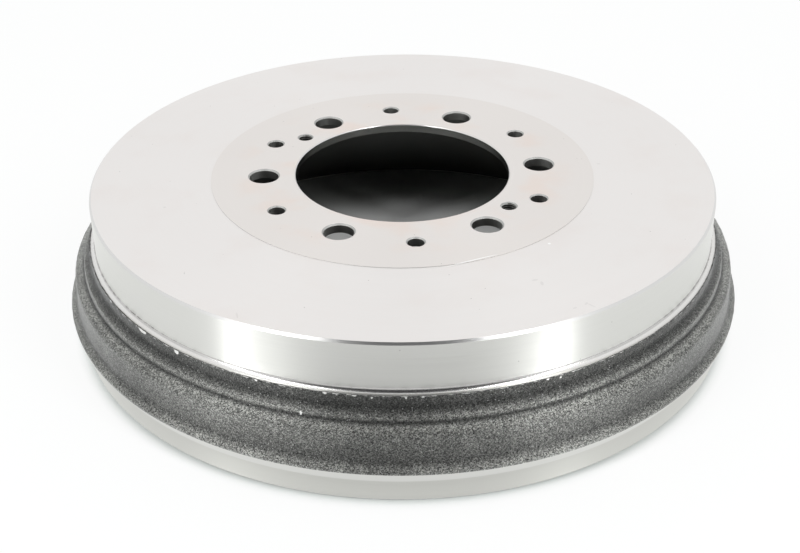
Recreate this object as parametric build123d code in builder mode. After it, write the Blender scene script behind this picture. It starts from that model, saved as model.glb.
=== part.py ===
from build123d import *
import os

# Rear brake drum for a six-stud wheel: one grey iron casting, turned on its faces and bores.
# Millimetres. The origin is the centre of the open rim, and +Z runs up the axis to the wheel face.

# ---- Driving dimensions: friction side ----
FRICTION_DIAMETER = 295.0
WALL_THICKNESS = 8.55
DRUM_HEIGHT = 75.0
MOUTH_CHAMFER = 1.0

# ---- Driving dimensions: web and hub seat ----
WEB_THICKNESS = 6.3
HUB_SEAT_DIAMETER = 176.0
HUB_SEAT_DEPTH = 1.8
WHEEL_SEAT_DIAMETER = 192.6
WHEEL_SEAT_STEP = 0.2
FACE_CHAMFER = 1.0

# ---- Driving dimensions: run-out between the friction face and the web ----
RUNOUT_WIDTH = 11.5
RUNOUT_DEPTH = 1.5
RUNOUT_RADIUS = 8.0

# ---- Driving dimensions: hub bore and holes ----
HUB_BORE_DIAMETER = 108.0
HUB_BORE_TOP_CHAMFER = 0.4
HUB_BORE_FOOT_CHAMFER = 0.7
STUD_CIRCLE_DIAMETER = 139.7
STUD_HOLE_DIAMETER = 14.5
STUD_HOLE_CHAMFER = 0.75
STUD_COUNT = 6
SCREW_CIRCLE_DIAMETER = 147.0
SCREW_HOLE_DIAMETER = 8.0
SCREW_HOLE_CHAMFER = 0.65
JACK_CIRCLE_DIAMETER = 129.0
JACK_HOLE_DIAMETER = 6.8
JACK_HOLE_CHAMFER = 0.85
JACK_HOLE_COUNT = 2
JACK_HOLE_ANGLE = 138.0

# ---- Driving dimensions: outside, as radial steps outwards from the turned band ----
BAND_TO_SKIN = 2.7
SKIN_TO_LEDGE = 3.55
LEDGE_DRAFT = 0.3
LEDGE_TO_SHOULDER = 4.9
SHOULDER_DRAFT = 0.6
SHOULDER_TO_FLANGE = 3.6
FLANGE_UNDERCUT = 0.25
FLANGE_TO_RIM = 4.4
RIM_TAPER = 0.8
RIM_CHAMFER = 1.2

# ---- Driving dimensions: outside, as heights stacked up from the open rim ----
RIM_HEIGHT = 11.5
CONE_HEIGHT = 6.2
FLANGE_EDGE_HEIGHT = 1.8
FLARE_HEIGHT = 2.5
SHOULDER_HEIGHT = 14.4
SHOULDER_RISE = 2.8
LEDGE_HEIGHT = 3.3
LEDGE_RISE = 2.0
NECK_HEIGHT = 5.6

# ---- Driving dimensions: corner radii of the outside ----
BAND_FILLET = 2.5
NECK_FILLET = 3.0
LEDGE_ROUND = 0.9
VALLEY_FILLET = 0.6
SHOULDER_ROUND = 2.2
FLARE_FILLET = 3.5
FLANGE_ROUND = 0.7

# ---- Driving dimensions: splash groove in the open rim ----
GROOVE_WIDTH = 5.5
GROOVE_DEPTH = 20.0
GROOVE_FILLET = 2.0
GROOVE_MOUTH_CHAMFER = 0.8

# ---- Radii worked out from the driving dimensions ----
friction_radius = FRICTION_DIAMETER / 2
runout_radius = friction_radius + RUNOUT_DEPTH
band_radius = friction_radius + WALL_THICKNESS
skin_radius = band_radius + BAND_TO_SKIN
ledge_radius = skin_radius + SKIN_TO_LEDGE
valley_radius = ledge_radius + LEDGE_DRAFT
shoulder_radius = valley_radius + LEDGE_TO_SHOULDER
flare_radius = shoulder_radius + SHOULDER_DRAFT
flange_radius = flare_radius + SHOULDER_TO_FLANGE
cone_top_radius = flange_radius - FLANGE_UNDERCUT
rim_top_radius = cone_top_radius - FLANGE_TO_RIM
rim_radius = rim_top_radius - RIM_TAPER
groove_inner_radius = band_radius
groove_outer_radius = groove_inner_radius + GROOVE_WIDTH
hub_bore_radius = HUB_BORE_DIAMETER / 2

# ---- Heights worked out from the driving dimensions ----
face_level = DRUM_HEIGHT - WHEEL_SEAT_STEP
web_level = face_level - WEB_THICKNESS
hub_seat_level = web_level + HUB_SEAT_DEPTH
friction_level = web_level - RUNOUT_WIDTH
flange_foot_level = RIM_HEIGHT + CONE_HEIGHT
flange_level = flange_foot_level + FLANGE_EDGE_HEIGHT
flare_level = flange_level + FLARE_HEIGHT
shoulder_level = flare_level + SHOULDER_HEIGHT
valley_level = shoulder_level + SHOULDER_RISE
ledge_level = valley_level + LEDGE_HEIGHT
neck_level = ledge_level + LEDGE_RISE
step_level = neck_level + NECK_HEIGHT

# ---- Radii of corners, limited by the steps they lie on ----
band_fillet = min(BAND_FILLET, 0.95 * BAND_TO_SKIN)
runout_fillet = min(RUNOUT_RADIUS, 0.9 * (RUNOUT_WIDTH - RUNOUT_DEPTH))
groove_fillet = min(GROOVE_FILLET, 0.45 * GROOVE_WIDTH)

# The drum is turned about its own axis from one section: down the outside from the wheel face to
# the rim, across the rim with its splash groove, up the friction face and in under the web.
with BuildPart() as drum:
    with BuildSketch(Plane.XZ):
        with BuildLine():
            # Turned band, cast neck, ledge, shoulder and flange, then the turned rim.
            outside = FilletPolyline(
                (hub_bore_radius, face_level),
                (band_radius - FACE_CHAMFER, face_level),
                (band_radius, face_level - FACE_CHAMFER),
                (band_radius, step_level),
                (skin_radius, step_level),
                (skin_radius, neck_level),
                (ledge_radius, ledge_level),
                (valley_radius, valley_level),
                (shoulder_radius, shoulder_level),
                (flare_radius, flare_level),
                (flange_radius, flange_level),
                (cone_top_radius, flange_foot_level),
                (rim_top_radius, RIM_HEIGHT),
                (rim_radius, RIM_CHAMFER),
                (rim_radius - RIM_CHAMFER, 0),
                radius=[
                    0,
                    0,
                    band_fillet,
                    0,
                    NECK_FILLET,
                    LEDGE_ROUND,
                    VALLEY_FILLET,
                    SHOULDER_ROUND,
                    FLARE_FILLET,
                    FLANGE_ROUND,
                    0,
                    0,
                    0,
                ],
            )
            # Splash groove, which the edge of the backing plate runs in.
            groove = FilletPolyline(
                outside @ 1,
                (groove_outer_radius + GROOVE_MOUTH_CHAMFER, 0),
                (groove_outer_radius, GROOVE_MOUTH_CHAMFER),
                (groove_outer_radius, GROOVE_DEPTH),
                (groove_inner_radius, GROOVE_DEPTH),
                (groove_inner_radius, GROOVE_MOUTH_CHAMFER),
                (groove_inner_radius - GROOVE_MOUTH_CHAMFER, 0),
                (friction_radius + MOUTH_CHAMFER, 0),
                radius=[0, 0, groove_fillet, groove_fillet, 0, 0],
            )
            # Friction face, the wider run-out past its inner end, and the underside of the web.
            inside = FilletPolyline(
                groove @ 1,
                (friction_radius, MOUTH_CHAMFER),
                (friction_radius, friction_level),
                (runout_radius, friction_level + RUNOUT_DEPTH),
                (runout_radius, web_level),
                (hub_bore_radius, web_level),
                radius=[0, 0, 0, runout_fillet],
            )
            Line(inside @ 1, outside @ 0)
        make_face()
    revolve(axis=Axis.Z)

    # Raised wheel seat, left by the facing cut that runs in from the band.
    with BuildSketch(Plane.XY.offset(face_level)):
        Circle(WHEEL_SEAT_DIAMETER / 2)
        Circle(hub_bore_radius, mode=Mode.SUBTRACT)
    extrude(amount=WHEEL_SEAT_STEP)

    # Hub seat, spot-faced into the underside of the web.
    with BuildSketch(Plane.XY.offset(web_level)):
        Circle(HUB_SEAT_DIAMETER / 2)
    extrude(amount=HUB_SEAT_DEPTH, mode=Mode.SUBTRACT)

    # Lead-in chamfers at both ends of the hub bore.
    bore_edges = drum.faces().filter_by(GeomType.CYLINDER).sort_by(SortBy.RADIUS)[0].edges()
    bore_rims = bore_edges.filter_by(GeomType.CIRCLE).sort_by(Axis.Z)
    chamfer(bore_rims[-1], HUB_BORE_TOP_CHAMFER)
    chamfer(bore_rims[0], HUB_BORE_FOOT_CHAMFER)

    # Wheel stud holes, the screw holes half way between them, and the two jacking screw holes.
    with Locations(Plane.XY.offset(DRUM_HEIGHT)):
        with PolarLocations(STUD_CIRCLE_DIAMETER / 2, STUD_COUNT):
            CounterSinkHole(
                radius=STUD_HOLE_DIAMETER / 2,
                counter_sink_radius=STUD_HOLE_DIAMETER / 2 + STUD_HOLE_CHAMFER,
                counter_sink_angle=90,
            )
        with PolarLocations(SCREW_CIRCLE_DIAMETER / 2, STUD_COUNT, start_angle=180 / STUD_COUNT):
            CounterSinkHole(
                radius=SCREW_HOLE_DIAMETER / 2,
                counter_sink_radius=SCREW_HOLE_DIAMETER / 2 + SCREW_HOLE_CHAMFER,
                counter_sink_angle=90,
            )
        with PolarLocations(JACK_CIRCLE_DIAMETER / 2, JACK_HOLE_COUNT, start_angle=JACK_HOLE_ANGLE):
            CounterSinkHole(
                radius=JACK_HOLE_DIAMETER / 2,
                counter_sink_radius=JACK_HOLE_DIAMETER / 2 + JACK_HOLE_CHAMFER,
                counter_sink_angle=90,
            )

drum.part.label = "brake_drum"
os.makedirs("parts", exist_ok=True)
export_step(drum.part, "parts/brake_drum.step")
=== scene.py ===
"""A rear brake drum of grey iron, turned on its faces, on a pale studio floor.

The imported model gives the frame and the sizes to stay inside. One casting is turned ring by ring,
filleted, drilled and tapped here, and gets its casting skin, its chipped edge and its finishes.
"""

import logging
import math
from dataclasses import dataclass
from enum import Enum
from typing import Callable, Union

import bmesh
import bpy
from mathutils import Euler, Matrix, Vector


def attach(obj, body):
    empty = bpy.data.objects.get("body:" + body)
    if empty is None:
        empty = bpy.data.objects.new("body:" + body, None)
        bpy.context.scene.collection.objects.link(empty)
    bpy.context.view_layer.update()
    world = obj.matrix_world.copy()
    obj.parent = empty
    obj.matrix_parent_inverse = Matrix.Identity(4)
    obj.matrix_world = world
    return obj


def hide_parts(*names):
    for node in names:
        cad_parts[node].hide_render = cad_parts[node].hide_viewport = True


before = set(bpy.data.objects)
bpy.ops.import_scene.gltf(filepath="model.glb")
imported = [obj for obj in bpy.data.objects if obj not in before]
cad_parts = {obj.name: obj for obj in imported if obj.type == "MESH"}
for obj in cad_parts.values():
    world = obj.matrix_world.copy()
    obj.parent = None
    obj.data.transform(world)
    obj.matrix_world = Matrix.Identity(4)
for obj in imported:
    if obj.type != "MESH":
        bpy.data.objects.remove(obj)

MM = 0.001
LOG = logging.getLogger("brake_drum")
Colour = tuple[float, float, float]
Span = tuple[float, float]
Number = Union["Value", float]
Socket = bpy.types.NodeSocket
Element = bmesh.types.BMEdge | bmesh.types.BMFace


# ---- Shader graph ----


class Value:
    """A number that changes over a surface: one socket, with the arithmetic that it needs."""

    def __init__(self, graph: "Graph", socket: Socket) -> None:
        """Keeps the graph that the socket belongs to.

        Args:
            graph: The node tree wrapper that new Math nodes go into.
            socket: The output socket that holds the number.
        """
        self.graph = graph
        self.socket = socket

    def _math(self, operation: str, first: Number, second: Number) -> "Value":
        """Adds a Math node.

        Args:
            operation: The Math node's operation.
            first: Its first operand.
            second: Its second operand.

        Returns:
            The node's result.
        """
        node = self.graph.add(
            "ShaderNodeMath", {"operation": operation}, {"Value": first, "Value_001": second}
        )
        return Value(self.graph, node.outputs[0])

    def __add__(self, other: Number) -> "Value":
        """Sum."""
        return self._math("ADD", self, other)

    def __radd__(self, other: Number) -> "Value":
        """Sum, reflected."""
        return self._math("ADD", other, self)

    def __sub__(self, other: Number) -> "Value":
        """Difference."""
        return self._math("SUBTRACT", self, other)

    def __rsub__(self, other: Number) -> "Value":
        """Difference, reflected."""
        return self._math("SUBTRACT", other, self)

    def __mul__(self, other: Number) -> "Value":
        """Product."""
        return self._math("MULTIPLY", self, other)

    def __rmul__(self, other: Number) -> "Value":
        """Product, reflected."""
        return self._math("MULTIPLY", other, self)

    def __truediv__(self, other: Number) -> "Value":
        """Quotient."""
        return self._math("DIVIDE", self, other)

    def __rtruediv__(self, other: Number) -> "Value":
        """Quotient, reflected."""
        return self._math("DIVIDE", other, self)

    def __gt__(self, other: Number) -> "Value":
        """One where this is greater, and zero elsewhere."""
        return self._math("GREATER_THAN", self, other)

    def power(self, exponent: float) -> "Value":
        """Power."""
        return self._math("POWER", self, exponent)

    def angle_over(self, across: "Value") -> "Value":
        """The angle whose sine this is and whose cosine is across, in radians."""
        return self._math("ARCTAN2", self, across)

    def larger(self, other: Number) -> "Value":
        """The larger of the two."""
        return self._math("MAXIMUM", self, other)

    def between(self, low: float, high: float) -> "Value":
        """Ramps smoothly from 0 at low to 1 at high.

        Args:
            low: The value that gives 0.
            high: The value that gives 1. It may be less than low.

        Returns:
            The ramp.
        """
        node = self.graph.add(
            "ShaderNodeMapRange",
            {"interpolation_type": "SMOOTHSTEP", "clamp": True},
            {"Value": self, "From Min": low, "From Max": high, "To Min": 0.0, "To Max": 1.0},
        )
        return Value(self.graph, node.outputs[0])


class Graph:
    """The node tree of a material or world, with short ways to add to it."""

    def __init__(self, tree: bpy.types.NodeTree) -> None:
        """Empties the tree.

        Args:
            tree: The node tree to fill.
        """
        self.tree = tree
        tree.nodes.clear()

    def add(self, kind: str, settings: dict | None = None, inputs: dict | None = None) -> bpy.types.Node:
        """Adds one node.

        Args:
            kind: The node's type, such as ShaderNodeMath.
            settings: Attributes to set first, such as the operation, or a ramp's stops as pairs of
                position and colour.
            inputs: What each input gets by name or identifier: a Value, a socket, a number, a colour or
                a tuple.

        Returns:
            The new node.
        """
        node = self.tree.nodes.new(kind)
        for name, setting in (settings or {}).items():
            if name != "stops":
                setattr(node, name, setting)
                continue
            ramp = node.color_ramp
            while len(ramp.elements) < len(setting):
                ramp.elements.new(1.0)
            for element, (position, colour) in zip(ramp.elements, setting):
                element.position, element.color = position, (*colour, 1.0)
        for name, given in (inputs or {}).items():
            socket = next(s for s in node.inputs if name in (s.identifier, s.name) and s.enabled)
            if isinstance(given, Value):
                given = given.socket
            if isinstance(given, Socket):
                self.tree.links.new(given, socket)
            else:
                socket.default_value = (*given, 1.0) if socket.type == "RGBA" else given
        return node

    def place(self) -> Socket:
        """The place on the object, in metres."""
        return self.add("ShaderNodeTexCoord").outputs["Object"]

    def combine(self, x: Number, y: Number, z: Number) -> Socket:
        """Puts three numbers together as one vector."""
        return self.add("ShaderNodeCombineXYZ", None, {"X": x, "Y": y, "Z": z}).outputs[0]

    def split(self, vector: Socket) -> tuple["Value", "Value", "Value"]:
        """Takes a vector apart into its three numbers."""
        node = self.add("ShaderNodeSeparateXYZ", None, {"Vector": vector})
        return tuple(Value(self, s) for s in node.outputs)

    def turned(self) -> tuple["Value", "Value", "Value"]:
        """Lathe coordinates of the surface.

        Returns:
            The distance from the axis and the height, both in metres, and the angle in radians.
        """
        x, y, z = self.split(self.place())
        return (x * x + y * y).power(0.5), z, y.angle_over(x)

    def noise(self, vector: Socket, scale: float, detail: float = 2.0,
              roughness: float = 0.5) -> "Value":
        """A noise from about 0 to 1.

        Args:
            vector: Where it is read.
            scale: Features to the metre.
            detail: How many finer layers it has.
            roughness: How strong the finer layers are.

        Returns:
            The noise.
        """
        node = self.add(
            "ShaderNodeTexNoise",
            {"noise_dimensions": "3D"},
            {"Vector": vector, "Scale": scale, "Detail": detail, "Roughness": roughness},
        )
        return Value(self, node.outputs[0])

    def cells(self, vector: Socket, scale: float) -> tuple["Value", "Value"]:
        """Scattered points.

        Args:
            vector: Where they are read.
            scale: Points to the metre.

        Returns:
            The distance to the nearest point, and a random number for that point.
        """
        node = self.add("ShaderNodeTexVoronoi", {"feature": "F1"}, {"Vector": vector, "Scale": scale})
        red, _, _ = self.split(node.outputs["Color"])
        return Value(self, node.outputs["Distance"]), red

    def curve(self, value: "Value", stops: tuple[Span, ...]) -> "Value":
        """Reads a smooth curve.

        Args:
            value: Where it is read.
            stops: Its stops: where each is, and its height of up to 2.

        Returns:
            The height.
        """
        low, high = stops[0][0], stops[-1][0]
        share = (value - low) / (high - low)
        greys = [((where - low) / (high - low), (height / 2,) * 3) for where, height in stops]
        node = self.add("ShaderNodeValToRGB", {"stops": greys}, {"Fac": share})
        red, _, _ = self.split(node.outputs["Color"])
        return red * 2.0

    def mix(self, factor: Number, first: object, second: object) -> Socket:
        """Mixes two colours.

        Args:
            factor: The share of the second.
            first: A colour or a socket.
            second: A colour or a socket.

        Returns:
            The mixed colour.
        """
        node = self.add(
            "ShaderNodeMix",
            {"data_type": "RGBA", "clamp_factor": True},
            {"Factor_Float": factor, "A_Color": first, "B_Color": second},
        )
        return next(s for s in node.outputs if s.identifier == "Result_Color")

    def bump(self, height: "Value", distance: float, strength: float = 1.0) -> Socket:
        """Turns a height into a normal.

        Args:
            height: The height, from 0 to 1.
            distance: What a height of 1 stands for, in metres.
            strength: The share of the effect.

        Returns:
            The normal.
        """
        inputs = {"Height": height, "Distance": distance, "Strength": strength}
        return self.add("ShaderNodeBump", None, inputs).outputs["Normal"]

    def blend(self, factor: Number, first: bpy.types.Node, second: bpy.types.Node) -> bpy.types.Node:
        """Mixes two shaders.

        Args:
            factor: The share of the second.
            first: A shader node.
            second: A shader node.

        Returns:
            The Mix Shader node.
        """
        inputs = {"Fac": factor, "Shader": first.outputs[0], "Shader_001": second.outputs[0]}
        return self.add("ShaderNodeMixShader", None, inputs)

    def finish(self, shader: bpy.types.Node, output: str = "ShaderNodeOutputMaterial") -> None:
        """Links the last shader to the output."""
        self.add(output, None, {"Surface": shader.outputs[0]})

    def surface(self, inputs: dict) -> None:
        """Ends a material with one Principled shader."""
        self.finish(self.add("ShaderNodeBsdfPrincipled", None, inputs))


def new_material(name: str) -> tuple[bpy.types.Material, Graph]:
    """Makes an empty material.

    Args:
        name: The material's name.

    Returns:
        The material, and the graph that fills it.
    """
    made = bpy.data.materials.new(name)
    made.use_nodes = True
    return made, Graph(made.node_tree)


# ---- Finishes ----


class Region(Enum):
    """A stretch of the casting, by how its surface was made."""

    FACE = "wheel_face"
    EDGE = "turned_edge"
    BAND = "turned_band"
    SKIN = "casting_skin"
    STEP = "turned_step"
    CONE = "turned_cone"
    RIM = "turned_rim"
    BORE = "hub_bore"
    THREAD = "tapped_thread"
    DRILLED = "drilled_hole"
    CHAMFER = "broken_edge"
    FRICTION = "friction_face"
    SEAT_STEP = "wheel_seat_step"
    SEAT = "hub_seat"
    WEB = "web_skin"


@dataclass(frozen=True)
class Nick:
    """A small scratch or nick in the face, long one way and narrow the other, in metres."""

    east: float
    north: float
    length: float
    width: float
    degrees: float
    pale: bool = False

    def reach(self, east: Value, north: Value) -> Value:
        """How far a place lies from the nick, with one at its edge.

        Args:
            east: The place along X.
            north: The place along Y.

        Returns:
            The reach.
        """
        turn = math.radians(self.degrees)
        to_east, to_north = east - self.east, north - self.north
        along = to_east * math.cos(turn) + to_north * math.sin(turn)
        across = to_north * math.cos(turn) - to_east * math.sin(turn)
        return (along * along) / self.length ** 2 + (across * across) / self.width ** 2


@dataclass(frozen=True)
class TurnedIron:
    """Bare iron as the lathe leaves it, with its fine rings.

    Lengths are in metres, and patterns are in features to the metre.
    """

    colour: Colour
    warm: Colour
    roughness: float
    along_axis: bool
    anisotropy: float = 0.75
    mark_tone: float = 0.10
    mark_depth: float = 0.000004
    mark_roughness: float = 0.10
    fine_rings: float = 1500.0
    broad_rings: float = 420.0
    tone_span: Span = (0.9, 1.1)
    patches: float = 26.0
    patch_edges: Span = (0.45, 0.75)
    patch_share: float = 0.6
    specks: float = 0.0
    speck_points: float = 420.0
    speck_edges: Span = (0.14, 0.05)
    speck_share: float = 0.55
    speck_colour: Colour = (0.12, 0.11, 0.10)
    inner_radius: float = 0.0
    inner_edge: float = 0.0002
    inner_share: float = 0.8
    inner: Colour = (0.80, 0.768, 0.742)
    smudge: Colour | None = None
    smudge_reach: Span = (0.090, 0.072)
    smudge_edges: Span = (0.46, 0.66)
    smudge_share: float = 0.7
    skin_from: float = 0.0
    skin_pattern: float = 750.0
    skin_ragged: float = 0.0007
    skin_edges: Span = (-0.0008, 0.0002)
    skin_roughness: float = 0.4
    skin_colour: Colour = (0.07, 0.07, 0.068)
    # Painted shade: a thin dark line across a span of heights, for the shade in a fillet.
    painted_fillet_shade: Span | None = None
    painted_fillet_shade_share: float = 0.32
    painted_fillet_shade_colour: Colour = (0.10, 0.10, 0.098)
    nicks: tuple[Nick, ...] = ()
    nick_edges: Span = (1.4, 0.6)
    nick_pale: Colour = (1.0, 1.0, 0.99)
    nick_dark: Colour = (0.36, 0.35, 0.34)
    nick_dark_share: float = 0.14

    def material(self, name: str) -> bpy.types.Material:
        """Builds the material.

        Args:
            name: The material's name.

        Returns:
            The material.
        """
        made, g = new_material(name)
        radius, height, angle = g.turned()
        feed = height if self.along_axis else radius
        # Rings run round the axis, so they change fast along the feed and slowly round it.
        fine = g.noise(g.combine(feed * self.fine_rings, angle * 0.9, 0.0), 1.0, 3.0, 0.65)
        broad = g.noise(g.combine(feed * self.broad_rings, angle * 0.45, 3.0), 1.0, 3.0, 0.6)
        patch = g.noise(g.place(), self.patches, 3.0, 0.55)
        tone = (fine - 0.5) * self.mark_tone + (broad - 0.5) * self.mark_tone
        darker, lighter = (tuple(c * share for c in self.colour) for share in self.tone_span)
        colour = g.mix(tone + 0.5, darker, lighter)
        colour = g.mix(patch.between(*self.patch_edges) * self.patch_share, colour, self.warm)
        colour = self._marked(g, colour, radius, height, patch)
        rough = (broad - 0.5) * self.mark_roughness + self.roughness
        if self.skin_from > 0.0:
            low, high = (self.skin_from + edge for edge in self.skin_edges)
            ragged = (g.noise(g.place(), self.skin_pattern, 2.0, 0.6) - 0.5) * self.skin_ragged
            skin = (radius + ragged).between(low, high).power(1.4)
            colour = g.mix(skin, colour, self.skin_colour)
            rough = rough + skin * self.skin_roughness
        g.surface({
            "Base Color": colour,
            "Metallic": 1.0,
            "Roughness": rough,
            "Anisotropic": self.anisotropy,
            "Anisotropic Rotation": 0.25,
            "Normal": g.bump(fine + broad * 0.6, self.mark_depth),
        })
        return made

    def _marked(self, g: Graph, colour: Socket, radius: Value, height: Value,
                patch: Value) -> Socket:
        """Lays the wheel seat's tone, smudges, specks, the painted shade in the fillet and nicks over the
        bare colour.

        Args:
            g: The graph that the nodes go into.
            colour: The bare colour.
            radius: The distance from the axis.
            height: The height.
            patch: The broad noise that breaks the smudges up.

        Returns:
            The marked colour.
        """
        if self.inner_radius > 0.0:
            outside, inside = self.inner_radius + self.inner_edge, self.inner_radius - self.inner_edge
            colour = g.mix(radius.between(outside, inside) * self.inner_share, colour, self.inner)
        if self.smudge:
            # Finger marks and a bloom of rust show faintly round the bore and the holes near it.
            near = radius.between(*self.smudge_reach) * patch.between(*self.smudge_edges)
            colour = g.mix(near * self.smudge_share, colour, self.smudge)
        if self.specks > 0.0:
            away, chance = g.cells(g.place(), self.speck_points)
            dots = away.between(*self.speck_edges) * (chance > 1.0 - self.specks)
            colour = g.mix(dots * self.speck_share, colour, self.speck_colour)
        # Painted shade: a thin dark line across the fillet.
        if self.painted_fillet_shade:
            colour = g.mix(height.between(*self.painted_fillet_shade) * self.painted_fillet_shade_share, colour, self.painted_fillet_shade_colour)
        if self.nicks:
            east, north, _ = g.split(g.place())
            for nick in self.nicks:
                share = 1.0 if nick.pale else self.nick_dark_share
                hit = nick.reach(east, north).between(*self.nick_edges) * share
                colour = g.mix(hit, colour, self.nick_pale if nick.pale else self.nick_dark)
        return colour


@dataclass(frozen=True)
class Fleck:
    """A place under the step where the lathe tool tore the casting skin down to bright iron.

    The level and the half sizes are in metres.
    """

    degrees: float
    level: float
    width: float
    height: float


@dataclass(frozen=True)
class CastingSkin:
    """Dark, grainy skin that the sand mould leaves on the iron.

    Lengths are in metres, and patterns are in features to the metre.
    """

    dark: Colour = (0.014, 0.0145, 0.015)
    pale: Colour = (0.67, 0.68, 0.645)
    sparkle: Colour = (0.85, 0.85, 0.84)
    bare: Colour = (0.97, 0.97, 0.95)
    # Painted light and shade by height: heights in metres, and how pale the skin is there.
    painted_light_by_height: tuple[Span, ...] = ((0.0, 1.0), (0.075, 1.0))
    roughness: float = 0.72
    grain_depth: float = 0.00012
    crystals: float = 2300.0
    crystal_power: float = 2.2
    crystal_share: float = 0.59
    grain_edges: Span = (0.32, 0.68)
    grain_share: float = 0.20
    lump_pattern: float = 1150.0
    lump_edges: Span = (0.34, 0.70)
    lump_share: float = 0.20
    cloud_pattern: float = 60.0
    spark_points: float = 1250.0
    spark_edges: Span = (0.34, 0.14)
    spark_rarity: float = 0.92
    spark_share: float = 0.6
    torn_level: float = 0.0
    torn_edges: Span = (-0.00015, 0.00005)
    torn_ragged: float = 0.0012
    crumb_points: float = 420.0
    crumb_edges: Span = (0.30, 0.16)
    crumb_rarity: float = 0.86
    crumb_band: Span = (0.0022, 0.0012)
    flecks: tuple[Fleck, ...] = ()
    fleck_edges: Span = (1.25, 0.8)

    def material(self, name: str) -> bpy.types.Material:
        """Builds the material.

        Args:
            name: The material's name.

        Returns:
            The material.
        """
        made, g = new_material(name)
        place = g.place()
        radius, level, angle = g.turned()
        grain = g.noise(place, self.crystals, 2.0, 0.7)
        lumps = g.noise(place, self.lump_pattern, 2.0, 0.6)
        cloud = g.noise(place, self.cloud_pattern, 3.0, 0.5)
        _, chance = g.cells(place, self.crystals)
        away, rare = g.cells(place, self.spark_points)
        glint = away.between(*self.spark_edges) * (rare > self.spark_rarity)
        # Few crystals are pale, so their chance is raised to a power before grain and lumps are added.
        tone = chance.power(self.crystal_power) * self.crystal_share
        tone = tone + grain.between(*self.grain_edges) * self.grain_share
        tone = tone + lumps.between(*self.lump_edges) * self.lump_share
        # Painted light and shade: the curve makes the skin pale where it faces up and dark on its walls.
        tone = tone * (cloud * 0.7 + 0.65) * g.curve(level, self.painted_light_by_height)
        colour = g.mix(tone, self.dark, self.pale)
        colour = g.mix(glint * self.spark_share, colour, self.sparkle)
        if self.torn_level > 0.0:
            torn = self._torn(g, level, radius, angle, lumps)
            colour = g.mix(torn, colour, self.bare)
        g.surface({
            "Base Color": colour,
            "Metallic": 0.9,
            "Sheen Weight": 0.7,
            "Sheen Roughness": 0.4,
            "Anisotropic": 0.95,
            "Anisotropic Rotation": 0.25,
            "Roughness": self.roughness - glint * 0.2,
            "Normal": g.bump(grain * 0.6 + lumps, self.grain_depth),
        })
        return made

    def _torn(self, g: Graph, level: Value, radius: Value, angle: Value, lumps: Value) -> Value:
        """Where bright iron shows through: along a ragged edge under the step, and in its flecks.

        Args:
            g: The graph that the nodes go into.
            level: The height.
            radius: The distance from the axis.
            angle: The angle about the axis.
            lumps: The noise that makes the edges ragged.

        Returns:
            One where bright iron shows.
        """
        ragged = (lumps - 0.5) * self.torn_ragged
        torn = (level + ragged * 0.7).between(*(self.torn_level + edge for edge in self.torn_edges))
        away, chance = g.cells(g.place(), self.crumb_points)
        crumbs = away.between(*self.crumb_edges) * (chance > self.crumb_rarity)
        low, high = (self.torn_level - below for below in self.crumb_band)
        torn = torn.larger(crumbs * level.between(low, high))
        for fleck in self.flecks:
            along = (angle - math.radians(fleck.degrees)) * radius + ragged * 0.8
            up = level - fleck.level + ragged * 0.5
            reach = (along * along) / fleck.width ** 2 + (up * up) / fleck.height ** 2
            torn = torn.larger(reach.between(*self.fleck_edges))
        return torn


@dataclass(frozen=True)
class StudioPaper:
    """Plain white sweep that keeps the drum's shadow, with a painted shadow round the drum's foot, and
    painted light and shade under the drum: pale under the bore, dark towards the wall.

    Each reach is a pair of radii in metres, between which one tone fades into the next.
    """

    colour: Colour = (0.905, 0.935, 0.926)
    # Painted shadow: the paper is darker in a thin ring round the drum's foot.
    painted_contact_shadow: Colour = (0.70, 0.73, 0.725)
    painted_shadow_reach: Span = (0.1700, 0.1652)
    # Painted light and shade under the drum: pale under the bore, dark towards the wall.
    under: Colour = (0.94, 0.96, 0.94)
    painted_shade_under_drum: Colour = (0.28, 0.29, 0.28)
    painted_light_and_shade_reach: Span = (0.080, 0.135)
    covered_radius: float = 0.160
    shown: float = 0.85
    shown_reach: Span = (0.1655, 0.173)
    # Painted light: the share of white that the camera sees under the bore's middle.
    painted_bore_light: float = 0.105
    painted_bore_light_reach: Span = (0.118, 0.078)

    def material(self, name: str) -> bpy.types.Material:
        """Builds the material.

        Args:
            name: The material's name.

        Returns:
            The material.
        """
        made, g = new_material(name)
        rays = g.add("ShaderNodeLightPath")
        glossy, through, camera = (
            Value(g, rays.outputs[f"Is {kind} Ray"]) for kind in ("Glossy", "Transmission", "Camera")
        )
        mirrored = glossy.larger(through)
        away, _, _ = g.turned()
        open_floor = away > self.covered_radius
        # The drum's own shadow is kept whole close to it, and fades further out.
        shown = away.between(*self.shown_reach) * self.shown
        # Painted light and shade: the paper under the drum is pale under the bore and dark towards the
        # wall.
        under = g.mix(away.between(*self.painted_light_and_shade_reach), self.under, self.painted_shade_under_drum)
        # Painted shadow: a thin darker ring of paper round the drum's foot.
        paper_with_painted_shadow = g.mix(away.between(*self.painted_shadow_reach), self.colour, self.painted_contact_shadow)
        paper = g.add("ShaderNodeBsdfDiffuse", None, {"Color": g.mix(open_floor, under, paper_with_painted_shadow)})
        white = g.add("ShaderNodeEmission", None, {"Color": (1.0, 1.0, 1.0), "Strength": 1.0})
        # A painted pool of light: white is mixed in for camera rays under the paper's middle, where light
        # falls in through the bore.
        painted_bore_light = camera * away.between(*self.painted_bore_light_reach) * self.painted_bore_light
        g.finish(g.blend((camera * shown + mirrored) * open_floor + painted_bore_light, paper, white))
        return made


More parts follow.
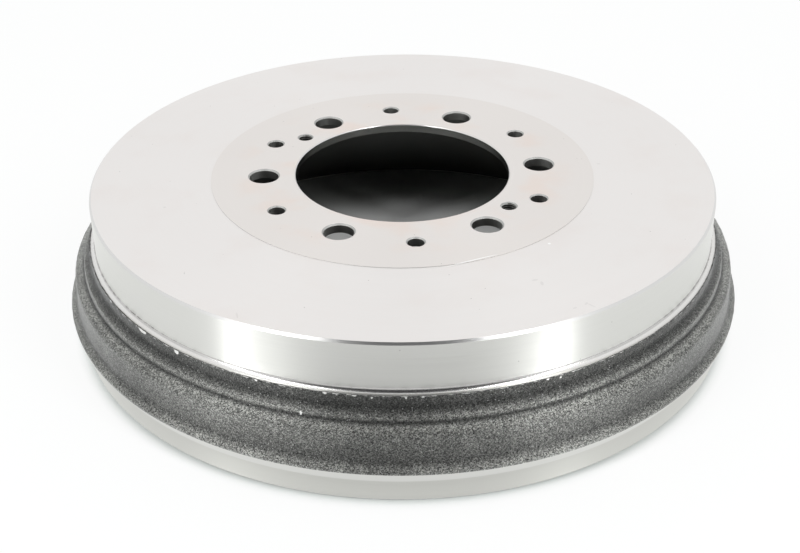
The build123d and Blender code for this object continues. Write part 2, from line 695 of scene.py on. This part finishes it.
# Height of the casting skin in metres, and how pale it is there: painted light and shade, pale where the
# skin faces up on its shelves and rounds, and dark on its walls, in its crease and under the step.
SKIN_PAINTED_LIGHT = (
    (0.0177, 1.1), (0.0203, 1.25), (0.0220, 0.65), (0.0231, 0.52), (0.0260, 0.62), (0.0310, 0.80),
    (0.0364, 1.00), (0.0376, 1.35), (0.0382, 1.30), (0.0387, 0.70), (0.0392, 0.28), (0.0398, 0.42),
    (0.0405, 0.98), (0.0414, 1.18), (0.0425, 1.02), (0.0434, 0.50), (0.0445, 0.26), (0.0460, 0.34),
    (0.0500, 0.46),
)
# Scratches and nicks in the wheel face: place, half length and half width in metres, and turn.
FACE_NICKS = (
    Nick(0.0236, -0.0933, 0.0125, 0.00030, 19.0), Nick(0.0234, -0.0926, 0.0125, 0.00035, 19.0, True),
    Nick(0.0608, -0.0806, 0.0007, 0.0007, 0.0, True), Nick(0.0673, -0.1326, 0.0012, 0.0005, 60.0),
    Nick(0.0692, -0.1342, 0.0022, 0.0004, -50.0), Nick(0.0618, -0.1356, 0.0010, 0.0005, 30.0),
    Nick(0.0488, -0.1116, 0.0014, 0.0007, 10.0), Nick(0.0514, -0.1147, 0.0007, 0.0016, 0.0),
    Nick(-0.0808, -0.1279, 0.0004, 0.0022, 8.0), Nick(-0.1177, -0.0282, 0.0008, 0.0006, 0.0),
    Nick(0.1003, -0.0026, 0.0009, 0.0006, 0.0),
)
# Flecks of bright iron under the step: angle, height, half width and half height in metres.
STEP_FLECKS = (
    Fleck(-142.2, 0.0497, 0.0030, 0.0014), Fleck(-133.5, 0.0495, 0.0014, 0.0014),
    Fleck(-153.5, 0.0494, 0.0007, 0.0008), Fleck(-110.2, 0.0404, 0.0006, 0.0010),
    Fleck(-117.9, 0.0497, 0.0006, 0.0005), Fleck(-106.7, 0.0497, 0.0007, 0.0006),
    Fleck(-102.2, 0.0498, 0.0010, 0.0005), Fleck(-94.4, 0.0496, 0.0005, 0.0009),
    Fleck(-91.8, 0.0497, 0.0006, 0.0005), Fleck(-72.1, 0.0496, 0.0006, 0.0005),
    Fleck(35.0, 0.0494, 0.0012, 0.0007), Fleck(118.0, 0.0495, 0.0008, 0.0009),
)


def finishes() -> dict[Region, bpy.types.Material]:
    """Makes the material of each region.

    Returns:
        The materials by region.
    """
    made = {
        Region.FACE: TurnedIron(
            (0.85, 0.83, 0.816), (0.83, 0.792, 0.77), 0.46, False, 0.5, specks=0.02,
            inner_radius=0.0963, smudge=(0.83, 0.735, 0.68), nicks=FACE_NICKS,
        ),
        Region.EDGE: TurnedIron((0.72, 0.72, 0.71), (0.72, 0.72, 0.71), 0.32, True),
        Region.BAND: TurnedIron(
            (0.765, 0.772, 0.74), (0.765, 0.77, 0.745), 0.34, True, 0.98, mark_tone=0.26, specks=0.012,
        ),
        Region.STEP: TurnedIron(
            (0.76, 0.755, 0.74), (0.76, 0.74, 0.72), 0.24, True, 0.5, skin_from=0.15845,
            # Painted shade along the band's fillet, above the step.
            painted_fillet_shade=(0.0507, 0.0513),
        ),
        Region.CONE: TurnedIron((0.68, 0.685, 0.66), (0.68, 0.68, 0.66), 0.34, True),
        Region.RIM: TurnedIron((0.62, 0.625, 0.59), (0.62, 0.62, 0.59), 0.34, True, 0.9),
        Region.BORE: TurnedIron((0.68, 0.68, 0.655), (0.66, 0.64, 0.62), 0.20, True, 0.6),
        # Painted shade: the tapped and drilled walls are darker than the turned iron, for the shade in
        # the holes.
        Region.THREAD: TurnedIron((0.20, 0.20, 0.19), (0.19, 0.18, 0.17), 0.40, True, 0.0),
        Region.DRILLED: TurnedIron((0.36, 0.36, 0.35), (0.35, 0.34, 0.33), 0.40, True, 0.0),
        Region.CHAMFER: TurnedIron((0.50, 0.505, 0.49), (0.48, 0.48, 0.47), 0.60, True, 0.0),
        # Painted shade: the friction face inside the drum is darker than the turned iron elsewhere.
        Region.FRICTION: TurnedIron((0.19, 0.19, 0.182), (0.19, 0.18, 0.17), 0.30, True, 0.4),
        Region.SEAT_STEP: TurnedIron((0.57, 0.56, 0.55), (0.55, 0.54, 0.52), 0.60, True, 0.0),
        Region.SEAT: TurnedIron((0.56, 0.55, 0.54), (0.54, 0.52, 0.50), 0.38, False),
        Region.SKIN: CastingSkin(painted_light_by_height=SKIN_PAINTED_LIGHT, torn_level=0.0501, flecks=STEP_FLECKS),
        Region.WEB: CastingSkin(roughness=0.8),
    }
    return {region: finish.material(region.value) for region, finish in made.items()}


# ---- Modelling helpers ----


def deselect() -> None:
    """Leaves edit mode and lets go of everything."""
    if bpy.context.object and bpy.context.object.mode != "OBJECT":
        bpy.ops.object.mode_set(mode="OBJECT")
    bpy.ops.object.select_all(action="DESELECT")


def take(piece: bpy.types.Object) -> None:
    """Makes one object the only selected and active one.

    Args:
        piece: The object.
    """
    deselect()
    piece.select_set(True)
    bpy.context.view_layer.objects.active = piece


def edit(piece: bpy.types.Object, mode: str = "EDGE") -> None:
    """Enters edit mode with nothing selected.

    Args:
        piece: The object to edit.
        mode: VERT, EDGE or FACE.
    """
    take(piece)
    bpy.ops.object.mode_set(mode="EDIT")
    bpy.ops.mesh.select_mode(type=mode)
    bpy.ops.mesh.select_all(action="DESELECT")


def pick(piece: bpy.types.Object, kind: str, test: Callable[[Element], bool]) -> int:
    """Selects edges or faces by their place or normal, in edit mode.

    Args:
        piece: The object in edit mode.
        kind: Which are looked at: edges or faces.
        test: Says of one of them whether it is wanted.

    Returns:
        How many were selected.
    """
    shape = bmesh.from_edit_mesh(piece.data)
    count = 0
    for part in getattr(shape, kind):
        wanted = test(part)
        part.select_set(wanted)
        count += wanted
    bmesh.update_edit_mesh(piece.data, loop_triangles=False, destructive=False)
    return count


def apply_modifier(piece: bpy.types.Object, modifier: bpy.types.Modifier) -> None:
    """Applies one modifier."""
    take(piece)
    bpy.ops.object.modifier_apply(modifier=modifier.name)


def settle(piece: bpy.types.Object) -> None:
    """Puts an object's place and turn into its mesh."""
    take(piece)
    bpy.ops.object.transform_apply(location=True, rotation=True, scale=True)


def join(pieces: list[bpy.types.Object]) -> bpy.types.Object:
    """Joins pieces into the first one.

    Args:
        pieces: The pieces.

    Returns:
        The first piece, with all the meshes.
    """
    deselect()
    for piece in pieces:
        piece.select_set(True)
    bpy.context.view_layer.objects.active = pieces[0]
    bpy.ops.object.join()
    return pieces[0]


def repeat(tool: bpy.types.Object, moves: list[Span]) -> bpy.types.Object:
    """Copies a tool, moves each copy to its place, and joins them.

    Args:
        tool: The tool to copy. It takes the first move itself.
        moves: How far each goes along X and Y, in millimetres.

    Returns:
        The tools as one object.
    """
    tools = [tool]
    for _ in moves[1:]:
        take(tool)
        bpy.ops.object.duplicate(linked=False)
        tools.append(bpy.context.object)
    for one, (x, y) in zip(tools, moves):
        one.location = (x * MM, y * MM, 0.0)
        settle(one)
    return join(tools)


def radius_of(point: Vector) -> float:
    """A point's distance from the drum's axis."""
    return math.hypot(point.x, point.y)


# ---- The casting ----


@dataclass(frozen=True)
class Corner:
    """One corner of the section, which is a ring about the axis. Sizes are in millimetres."""

    radius: float
    level: float
    region: Region
    fillet: float = 0.0


@dataclass(frozen=True)
class DrumSection:
    """Sizes of the turned section, in millimetres."""

    friction_radius: float = 147.5
    wall: float = 8.55
    height: float = 75.0
    mouth_chamfer: float = 1.0
    web: float = 6.3
    hub_seat_radius: float = 88.0
    hub_seat_depth: float = 1.8
    wheel_seat_radius: float = 96.3
    wheel_seat_step: float = 0.2
    face_chamfer: float = 1.0
    runout_width: float = 11.5
    runout_depth: float = 1.5
    runout_fillet: float = 8.0
    hub_bore_radius: float = 54.0
    bore_top_chamfer: float = 0.4
    bore_foot_chamfer: float = 0.7
    band_to_skin: float = 2.7
    skin_to_ledge: float = 3.55
    ledge_draft: float = 0.3
    ledge_to_shoulder: float = 4.9
    shoulder_draft: float = 0.6
    shoulder_to_flange: float = 3.3
    flange_undercut: float = 0.2
    flange_to_rim: float = 4.15
    rim_taper: float = 0.8
    rim_chamfer: float = 1.2
    rim_height: float = 11.5
    cone_height: float = 6.2
    flange_edge: float = 1.8
    turned_edge: float = 0.5
    flare_height: float = 2.5
    shoulder_height: float = 14.4
    shoulder_rise: float = 2.8
    ledge_height: float = 3.3
    ledge_rise: float = 2.0
    neck_height: float = 5.6
    band_fillet: float = 2.2
    neck_fillet: float = 3.0
    ledge_round: float = 0.9
    valley_fillet: float = 0.6
    shoulder_round: float = 2.2
    flare_fillet: float = 3.5
    flange_round: float = 0.7
    groove_width: float = 5.5
    groove_depth: float = 20.0
    groove_fillet: float = 2.0
    groove_chamfer: float = 0.8

    @property
    def face_level(self) -> float:
        """Height of the wheel face outside the raised wheel seat."""
        return self.height - self.wheel_seat_step

    @property
    def web_level(self) -> float:
        """Height of the web's underside."""
        return self.face_level - self.web

    @property
    def hub_seat_level(self) -> float:
        """Height of the turned hub seat."""
        return self.web_level + self.hub_seat_depth

    @property
    def band_radius(self) -> float:
        """Radius of the turned band."""
        return self.friction_radius + self.wall

    @property
    def skin_radius(self) -> float:
        """Radius of the casting skin just under the band."""
        return self.band_radius + self.band_to_skin

    @property
    def flange_foot(self) -> float:
        """Height at which the casting skin ends and the turned cone starts."""
        return self.rim_height + self.cone_height

    @property
    def step_level(self) -> float:
        """Height of the turned step under the band."""
        rises = (self.flange_edge, self.flare_height, self.shoulder_height, self.shoulder_rise,
                 self.ledge_height, self.ledge_rise, self.neck_height)
        return self.flange_foot + sum(rises)

    def corners(self) -> list[Corner]:
        """The closed section, each corner with the finish of the run that leaves it.

        Returns:
            The corners in order, from the foot of the hub bore and up over the outside.
        """
        bore, friction, band, skin = (
            self.hub_bore_radius, self.friction_radius, self.band_radius, self.skin_radius,
        )
        ledge = skin + self.skin_to_ledge
        valley = ledge + self.ledge_draft
        shoulder = valley + self.ledge_to_shoulder
        flare = shoulder + self.shoulder_draft
        flange = flare + self.shoulder_to_flange
        cone = flange - self.flange_undercut
        rim_top = cone - self.flange_to_rim
        rim = rim_top - self.rim_taper
        outer = band + self.groove_width
        flange_level = self.flange_foot + self.flange_edge
        flare_level = flange_level + self.flare_height
        shoulder_level = flare_level + self.shoulder_height
        valley_level = shoulder_level + self.shoulder_rise
        ledge_level = valley_level + self.ledge_height
        neck_level = ledge_level + self.ledge_rise
        runout = friction + self.runout_depth
        friction_level = self.web_level - self.runout_width
        return [
            Corner(bore, self.hub_seat_level + self.bore_foot_chamfer, Region.BORE),
            Corner(bore, self.height - self.bore_top_chamfer, Region.EDGE),
            Corner(bore + self.bore_top_chamfer, self.height, Region.FACE),
            Corner(self.wheel_seat_radius, self.height, Region.SEAT_STEP),
            Corner(self.wheel_seat_radius, self.face_level, Region.FACE),
            Corner(band - self.face_chamfer, self.face_level, Region.EDGE),
            Corner(band, self.face_level - self.face_chamfer, Region.BAND),
            Corner(band, self.step_level, Region.STEP, self.band_fillet),
            Corner(skin, self.step_level, Region.SKIN),
            Corner(skin, neck_level, Region.SKIN, self.neck_fillet),
            Corner(ledge, ledge_level, Region.SKIN, self.ledge_round),
            Corner(valley, valley_level, Region.SKIN, self.valley_fillet),
            Corner(shoulder, shoulder_level, Region.SKIN, self.shoulder_round),
            Corner(flare, flare_level, Region.SKIN, self.flare_fillet),
            Corner(flange, flange_level, Region.SKIN, self.flange_round),
            Corner(cone + self.flange_undercut * self.turned_edge / self.flange_edge,
                   self.flange_foot + self.turned_edge, Region.CONE),
            Corner(cone, self.flange_foot, Region.CONE),
            Corner(rim_top, self.rim_height, Region.RIM),
            Corner(rim, self.rim_chamfer, Region.RIM),
            Corner(rim - self.rim_chamfer, 0.0, Region.RIM),
            Corner(outer + self.groove_chamfer, 0.0, Region.RIM),
            Corner(outer, self.groove_chamfer, Region.FRICTION),
            Corner(outer, self.groove_depth, Region.FRICTION, self.groove_fillet),
            Corner(band, self.groove_depth, Region.FRICTION, self.groove_fillet),
            Corner(band, self.groove_chamfer, Region.RIM),
            Corner(band - self.groove_chamfer, 0.0, Region.RIM),
            Corner(friction + self.mouth_chamfer, 0.0, Region.RIM),
            Corner(friction, self.mouth_chamfer, Region.FRICTION),
            Corner(friction, friction_level, Region.FRICTION),
            Corner(runout, friction_level + self.runout_depth, Region.FRICTION),
            Corner(runout, self.web_level, Region.WEB, self.runout_fillet),
            Corner(self.hub_seat_radius, self.web_level, Region.SEAT),
            Corner(self.hub_seat_radius, self.hub_seat_level, Region.SEAT),
            Corner(bore + self.bore_foot_chamfer, self.hub_seat_level, Region.FRICTION),
        ]


@dataclass(frozen=True)
class HoleCircle:
    """Equal chamfered holes on one circle, in millimetres."""

    name: str
    circle: float
    hole_radius: float
    chamfer: float
    count: int
    first_degrees: float

    def spots(self) -> list[Span]:
        """The centre of each hole, in millimetres."""
        turns = [math.radians(self.first_degrees + 360.0 * k / self.count) for k in range(self.count)]
        return [(self.circle / 2 * math.cos(a), self.circle / 2 * math.sin(a)) for a in turns]


@dataclass
class DrumCasting:
    """The whole drum: turned, drilled, tapped and dressed. Sizes are in millimetres."""

    section: DrumSection = DrumSection()
    stud: HoleCircle = HoleCircle("stud", 139.7, 7.25, 0.75, 6, 0.0)
    screw: HoleCircle = HoleCircle("screw", 147.0, 4.0, 0.65, 6, 30.0)
    jack: HoleCircle = HoleCircle("jack", 129.0, 3.4, 0.85, 2, 138.0)
    segments: int = 420
    skin_row: float = 2.4
    skin_cuts: int = 1
    fillet_steps: int = 5
    smooth_degrees: float = 32.0
    drill_sides: int = 72
    drill_below: float = 3.0
    drill_above: float = 1.0
    thread_pitch: float = 1.25
    thread_crest: float = 4.02
    thread_overlap: float = 0.25
    thread_fill: float = 0.92
    thread_below: float = 1.2
    thread_length: float = 2.0
    thread_steps: int = 40
    swell: Span = (6.0, 0.30)
    grit: Span = (2.0, 0.12)
    skin_fade: float = 1.6
    chip: Span = (3.0, 0.5)
    chip_height: float = 0.9
    chip_fade: float = 0.35
    hole_margin: float = 0.2
    ring_reach: float = 0.02
    weld: float = 0.01
    fine_weld: float = 0.001
    same_place: float = 0.000005

    def build(self) -> bpy.types.Object:
        """Models the casting and dresses it.

        Returns:
            The finished piece.
        """
        piece = self._turn()
        self._round(piece)
        self._cut(piece, self._drills())
        self._cut(piece, self._tap())
        materials = finishes()
        for region in Region:
            piece.data.materials.append(materials[region])
        self._dress(piece)
        self._roughen(piece)
        take(piece)
        bpy.ops.object.shade_smooth_by_angle(angle=math.radians(self.smooth_degrees))
        return piece

    def _runs(self) -> list[tuple[Corner, Corner, float, float]]:
        """Each run of the section with the length that its two fillets take from it.

        Returns:
            The run's first and last corner, and the lengths at its start and at its end, in millimetres.
        """
        corners = self.section.corners()
        tangents = []
        for k, corner in enumerate(corners):
            before, after = corners[k - 1], corners[(k + 1) % len(corners)]
            into = Vector((corner.radius - before.radius, corner.level - before.level))
            out = Vector((after.radius - corner.radius, after.level - corner.level))
            tangents.append(corner.fillet * math.tan(into.angle(out) / 2))
        return [
            (corner, corners[(k + 1) % len(corners)], tangents[k], tangents[(k + 1) % len(corners)])
            for k, corner in enumerate(corners)
        ]

    def _rings(self) -> list[Span]:
        """The radius and height of each ring that is turned, in millimetres.

        Returns:
            The corners' rings, with more between them where the casting skin needs rows.
        """
        rings = []
        for start, end, taken, left in self._runs():
            rings.append((start.radius, start.level))
            if start.region is not Region.SKIN:
                continue
            across, up = end.radius - start.radius, end.level - start.level
            length = math.hypot(across, up)
            rows = max(1, round((length - taken - left) / self.skin_row))
            for row in range(1, rows):
                share = (taken + (length - taken - left) * row / rows) / length
                rings.append((start.radius + across * share, start.level + up * share))
        return rings

    def _turn(self) -> bpy.types.Object:
        """Turns the section: one ring, drawn out along the outline until it meets itself.

        Returns:
            The turned casting, with sharp corners and no holes.
        """
        rings = self._rings()
        first_radius, first_level = rings[0]
        deselect()
        bpy.ops.mesh.primitive_circle_add(
            vertices=self.segments, radius=first_radius * MM, fill_type="NOTHING",
            location=(0.0, 0.0, first_level * MM),
        )
        piece = bpy.context.object
        piece.name = piece.data.name = "drum_casting"
        settle(piece)
        edit(piece)
        bpy.ops.mesh.select_all(action="SELECT")
        radius, level = first_radius, first_level
        for next_radius, next_level in rings[1:] + rings[:1]:
            bpy.ops.mesh.extrude_edges_indiv()
            if next_radius != radius:
                share = next_radius / radius
                bpy.ops.transform.resize(value=(share, share, 1.0), center_override=(0.0, 0.0, 0.0))
            if next_level != level:
                bpy.ops.transform.translate(value=(0.0, 0.0, (next_level - level) * MM))
            radius, level = next_radius, next_level
        bpy.ops.mesh.select_all(action="SELECT")
        bpy.ops.mesh.remove_doubles(threshold=self.weld * MM)
        bpy.ops.mesh.normals_make_consistent(inside=False)
        deselect()
        return piece

    def _round(self, piece: bpy.types.Object) -> None:
        """Rounds the section's corners by bevelling their rings.

        Args:
            piece: The turned casting.
        """
        near = self.ring_reach * MM
        for corner, _, tangent, _ in self._runs():
            if corner.fillet == 0.0:
                continue
            edit(piece)
            radius, level = corner.radius * MM, corner.level * MM
            pick(piece, "edges", lambda edge: all(
                abs(end.co.z - level) < near and abs(radius_of(end.co) - radius) < near
                for end in edge.verts
            ))
            bpy.ops.mesh.bevel(
                offset=tangent * MM, offset_type="OFFSET", segments=self.fillet_steps,
                profile=0.5, affect="EDGES", clamp_overlap=False,
            )
        deselect()

    def _drill(self, holes: HoleCircle) -> bpy.types.Object:
        """Makes the drill of one hole circle: a cylinder that flares at 45 degrees at its top.

        Args:
            holes: The circle of holes.

        Returns:
            The drills, joined, at their places.
        """
        top = self.section.height - holes.chamfer
        if holes is not self.stud and holes.circle / 2 > self.section.wheel_seat_radius:
            top = self.section.face_level - holes.chamfer
        foot = self.section.web_level - self.drill_below
        deselect()
        x, y = holes.spots()[0]
        bpy.ops.mesh.primitive_cylinder_add(
            vertices=self.drill_sides, radius=holes.hole_radius * MM, depth=(top - foot) * MM,
            location=(x * MM, y * MM, (top + foot) / 2 * MM),
        )
        drill = bpy.context.object
        drill.name = f"{holes.name}_drill"
        settle(drill)
        edit(drill, "FACE")
        pick(drill, "faces", lambda face: face.normal.z > 0.9)
        bpy.ops.mesh.extrude_region()
        flare = holes.chamfer + self.drill_above
        share = (holes.hole_radius + flare) / holes.hole_radius
        bpy.ops.transform.translate(value=(0.0, 0.0, flare * MM))
        bpy.ops.transform.resize(value=(share, share, 1.0), center_override=(x * MM, y * MM, 0.0))
        return repeat(drill, [(next_x - x, next_y - y) for next_x, next_y in holes.spots()])

    def _drills(self) -> bpy.types.Object:
        """All the drills as one object."""
        return join([self._drill(holes) for holes in (self.stud, self.screw, self.jack)])

    def _tap(self) -> bpy.types.Object:
        """Makes the tap of the jacking holes: a triangular coil for each, at its place.

        Returns:
            The two coils as one object.
        """
        inner, outer = self.jack.hole_radius - self.thread_overlap, self.thread_crest
        turns = math.ceil((self.section.web + self.thread_length) / self.thread_pitch)
        start = self.section.hub_seat_level - self.thread_below
        # A three-sided ring stood on its edge is the tooth: its tip points away from the axis.
        reach = (outer - inner) / 1.5
        tooth = self.thread_fill * self.thread_pitch / (reach * math.sqrt(3.0))
        deselect()
        bpy.ops.mesh.primitive_circle_add(
            vertices=3, radius=reach * MM, fill_type="NOTHING",
            location=((outer - reach) * MM, 0.0, start * MM), rotation=(math.pi / 2, math.pi / 2, 0.0),
        )
        coil = bpy.context.object
        coil.name = "jack_tap"
        settle(coil)
        edit(coil)
        bpy.ops.mesh.select_all(action="SELECT")
        bpy.ops.transform.resize(value=(1.0, 1.0, tooth), center_override=(0.0, 0.0, start * MM))
        deselect()
        screw = coil.modifiers.new("turns", "SCREW")
        screw.axis, screw.angle = "Z", math.tau
        screw.screw_offset, screw.iterations = self.thread_pitch * MM, turns
        screw.steps = screw.render_steps = self.thread_steps
        screw.use_merge_vertices, screw.merge_threshold = True, self.fine_weld * MM
        apply_modifier(coil, screw)
        edit(coil)
        bpy.ops.mesh.select_all(action="SELECT")
        bpy.ops.mesh.remove_doubles(threshold=self.fine_weld * MM)
        bpy.ops.mesh.select_all(action="DESELECT")
        bpy.ops.mesh.select_non_manifold()
        bpy.ops.mesh.fill_holes(sides=4)
        bpy.ops.mesh.select_all(action="SELECT")
        bpy.ops.mesh.normals_make_consistent(inside=False)
        deselect()
        return repeat(coil, self.jack.spots())

    def _cut(self, piece: bpy.types.Object, tool: bpy.types.Object) -> None:
        """Cuts a tool's shape out of the casting, and puts the tool away.

        Args:
            piece: The casting.
            tool: The drills or the tap.
        """
        cut = piece.modifiers.new("cut", "BOOLEAN")
        cut.operation, cut.solver, cut.object = "DIFFERENCE", "EXACT", tool
        apply_modifier(piece, cut)
        mesh = tool.data
        bpy.data.objects.remove(tool)
        bpy.data.meshes.remove(mesh)

    def _dress(self, piece: bpy.types.Object) -> None:
        """Gives each face the finish of its fillet or its nearest run, and of a hole where it is in one.

        Args:
            piece: The casting, with the finishes in the order of the regions.
        """
        runs = [
            (Vector((a.radius, a.level)) * MM, Vector((b.radius, b.level)) * MM, a.region)
            for a, b, _, _ in self._runs()
        ]
        fillets = [
            (Vector((a.radius, a.level)) * MM, tangent * MM, a.region)
            for a, _, tangent, _ in self._runs() if a.fillet > 0.0
        ]
        order = list(Region)
        walls = ((self.stud, Region.DRILLED), (self.screw, Region.DRILLED), (self.jack, Region.THREAD))
        holes = [
            (x * MM, y * MM, (circle.hole_radius + circle.chamfer + self.hole_margin) * MM, wall)
            for circle, wall in walls for x, y in circle.spots()
        ]
        chamfer_foot = (self.section.height - self.jack.chamfer) * MM
        # Faces of one ring share a finish, so each place in the section is looked up once.
        known: dict[tuple[int, int], int] = {}
        for face in piece.data.polygons:
            centre = face.center
            spot = Vector((radius_of(centre), centre.z))
            steep = abs(face.normal.z) < 0.99
            drilled = [
                wall for x, y, reach, wall in holes if math.hypot(centre.x - x, centre.y - y) < reach
            ]
            if steep and drilled:
                flared = face.normal.z > 0.3 and centre.z > chamfer_foot
                face.material_index = order.index(Region.CHAMFER if flared else drilled[0])
                continue
            key = (round(spot.x / self.same_place), round(spot.y / self.same_place))
            if key not in known:
                best = min(runs, key=lambda run: self._distance(spot, run[0], run[1]))[2]
                for corner, reach, region in fillets:
                    if (spot - corner).length < reach:
                        best = region
                known[key] = order.index(best)
            face.material_index = known[key]

    @staticmethod
    def _distance(spot: Vector, start: Vector, end: Vector) -> float:
        """How far a point lies from a straight run, both in the section's plane.

        Args:
            spot: The point.
            start: One end of the run.
            end: Its other end.

        Returns:
            The distance.
        """
        along = end - start
        share = max(0.0, min(1.0, (spot - start).dot(along) / along.length_squared))
        return (spot - start - along * share).length

    def _roughen(self, piece: bpy.types.Object) -> None:
        """Divides the casting skin finely and gives it its uneven surface and chipped edge.

        Args:
            piece: The dressed casting.
        """
        skin = list(Region).index(Region.SKIN)
        edit(piece, "FACE")
        count = pick(piece, "faces", lambda face: face.material_index == skin)
        bpy.ops.mesh.subdivide(number_cuts=self.skin_cuts)
        deselect()
        LOG.info("casting skin: %d faces divided", count)
        low, high = self.section.flange_foot * MM, self.section.step_level * MM
        inner, touch, fade = (self.section.skin_radius - 0.3) * MM, 0.01 * MM, self.skin_fade * MM
        grain = piece.vertex_groups.new(name="skin")
        chips = piece.vertex_groups.new(name="chips")
        for vertex in piece.data.vertices:
            level, radius = vertex.co.z, radius_of(vertex.co)
            if radius < inner or level < low - touch or level > high + touch:
                continue
            weight = min(1.0, (high - level) / fade, (level - low) / fade)
            if weight > 0.0:
                grain.add([vertex.index], weight, "REPLACE")
            if level > high - self.chip_height * MM and radius > inner:
                on_edge = level > high - 0.1 * MM
                chips.add([vertex.index], 1.0 if on_edge else self.chip_fade, "REPLACE")
        for name, (size, height) in (("swell", self.swell), ("grit", self.grit)):
            texture = bpy.data.textures.new(name, "CLOUDS")
            texture.noise_scale, texture.noise_depth = size * MM, 2
            self._displace(piece, texture, "skin", height * MM, 0.5)
        size, depth = self.chip
        nick = bpy.data.textures.new("nicks", "CLOUDS")
        nick.noise_scale, nick.noise_depth, nick.contrast, nick.intensity = size * MM, 1, 4.0, 0.55
        self._displace(piece, nick, "chips", -depth * MM, 0.0)

    @staticmethod
    def _displace(piece: bpy.types.Object, texture: bpy.types.Texture, group: str, strength: float,
                  middle: float) -> None:
        """Moves the vertices of a group along their normals by a texture.

        Args:
            piece: The casting.
            texture: How far each vertex goes, from 0 to 1.
            group: The vertex group.
            strength: What 1 stands for, in metres.
            middle: The texture's value that moves nothing.
        """
        rough = piece.modifiers.new(group, "DISPLACE")
        rough.texture, rough.texture_coords = texture, "LOCAL"
        rough.direction, rough.strength, rough.mid_level = "NORMAL", strength, middle
        rough.vertex_group = group
        apply_modifier(piece, rough)


# ---- Studio ----


def stand(name: str, data: bpy.types.ID, place: Vector, forward: Vector, roll: float) -> bpy.types.Object:
    """Stands a camera or a lamp in the studio.

    Args:
        name: Its name.
        data: Its data.
        place: Where it stands, in metres.
        forward: Which way it looks.
        roll: Its turn about its line of sight, in degrees.

    Returns:
        The camera or lamp.
    """
    made = bpy.data.objects.new(name, data)
    bpy.context.scene.collection.objects.link(made)
    made.location = place
    turn = Euler((0.0, 0.0, math.radians(roll))).to_quaternion()
    made.rotation_euler = (forward.to_track_quat("-Z", "Y") @ turn).to_euler()
    return made


@dataclass(frozen=True)
class SoftBox:
    """A tall, narrow studio lamp that faces the drum, placed by its direction from it.

    Angles are in degrees and lengths in metres.
    """

    name: str
    azimuth: float
    elevation: float
    distance: float
    width: float
    height: float
    power: float
    roll: float = 0.0

    def build(self, target: Vector) -> None:
        """Adds the lamp.

        Args:
            target: What it faces, in metres.
        """
        a, e = math.radians(self.azimuth), math.radians(self.elevation)
        away = Vector((math.cos(a) * math.cos(e), math.sin(a) * math.cos(e), math.sin(e)))
        data = bpy.data.lights.new(self.name, "AREA")
        data.shape, data.size, data.size_y, data.energy = "RECTANGLE", self.width, self.height, self.power
        lamp = stand(self.name, data, target + away * self.distance, -away, self.roll)
        lamp.visible_camera = False


@dataclass
class Studio:
    """Floor, camera, lamps and surroundings."""

    camera_place: tuple[float, float, float] = (-0.04985, -0.60405, 0.3811)
    camera_forward: tuple[float, float, float] = (0.0680, 0.8512, -0.5204)
    camera_roll: float = 0.464
    lens: float = 60.09
    sensor: float = 36.0
    floor_size: float = 8.0
    boxes: tuple[SoftBox, ...] = (
        SoftBox("left_box", -144.8, 28.7, 1.6, 0.165, 1.9, 9.9, -11.0),
        SoftBox("right_box", -47.2, 30.0, 1.6, 0.20, 1.9, 10.7, 6.0),
    )
    target: tuple[float, float, float] = (0.0, 0.0, 0.05)
    tent_foot: Colour = (0.95, 0.95, 0.95)
    tent_top: Colour = (1.03, 1.03, 1.03)
    tent_rise: Span = (0.70, 0.98)
    opening: Colour = (0.05, 0.05, 0.053)
    opening_east: float = -0.07
    opening_sides: Span = (0.73, 0.84)
    opening_top: Span = (0.99, 0.95)

    def build(self) -> None:
        """Sets the studio up."""
        self._floor()
        self._camera()
        self._surroundings()
        for box in self.boxes:
            box.build(Vector(self.target))
        bpy.context.scene.view_settings.view_transform = "Standard"

    def _floor(self) -> None:
        """Lays the floor."""
        deselect()
        bpy.ops.mesh.primitive_plane_add(size=self.floor_size, location=(0.0, 0.0, 0.0))
        floor = bpy.context.object
        floor.name = "studio_floor"
        floor.data.materials.append(StudioPaper().material("studio_paper"))

    def _camera(self) -> None:
        """Places the camera."""
        data = bpy.data.cameras.new("camera")
        data.lens, data.sensor_width, data.sensor_fit = self.lens, self.sensor, "HORIZONTAL"
        place, forward = Vector(self.camera_place), Vector(self.camera_forward)
        bpy.context.scene.camera = stand("camera", data, place, forward, -self.camera_roll)

    def _surroundings(self) -> None:
        """Lights the room: a pale tent all round, with a dark opening behind and above the camera."""
        world = bpy.data.worlds.new("studio")
        world.use_nodes = True
        bpy.context.scene.world = world
        g = Graph(world.node_tree)
        x, y, up = g.split(g.add("ShaderNodeTexCoord").outputs["Generated"])
        # The cosine of the turn from the middle of the opening.
        front = (x * self.opening_east - y) / (x * x + y * y).power(0.5).larger(0.001)
        dark = front.between(*self.opening_sides) * up.between(*self.opening_top)
        tent = g.mix(up.between(*self.tent_rise), self.tent_foot, self.tent_top)
        room = g.mix(dark, tent, self.opening)
        lit = g.add("ShaderNodeBackground", None, {"Color": room, "Strength": 1.0})
        white = g.add("ShaderNodeBackground", None, {"Color": (1.0, 1.0, 1.0), "Strength": 1.0})
        rays = g.add("ShaderNodeLightPath")
        both = g.blend(Value(g, rays.outputs["Is Camera Ray"]), lit, white)
        g.finish(both, "ShaderNodeOutputWorld")


def main() -> None:
    """Builds the drum and its studio in order, and logs the casting's face count."""
    logging.basicConfig(level=logging.INFO, format="%(name)s: %(message)s")
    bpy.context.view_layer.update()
    casting = DrumCasting().build()
    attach(casting, "root")
    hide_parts("brake_drum")
    LOG.info("%s: %d faces", casting.name, len(casting.data.polygons))
    Studio().build()
    LOG.info("studio: floor, camera and lamps")


if __name__ == "__main__":
    main()
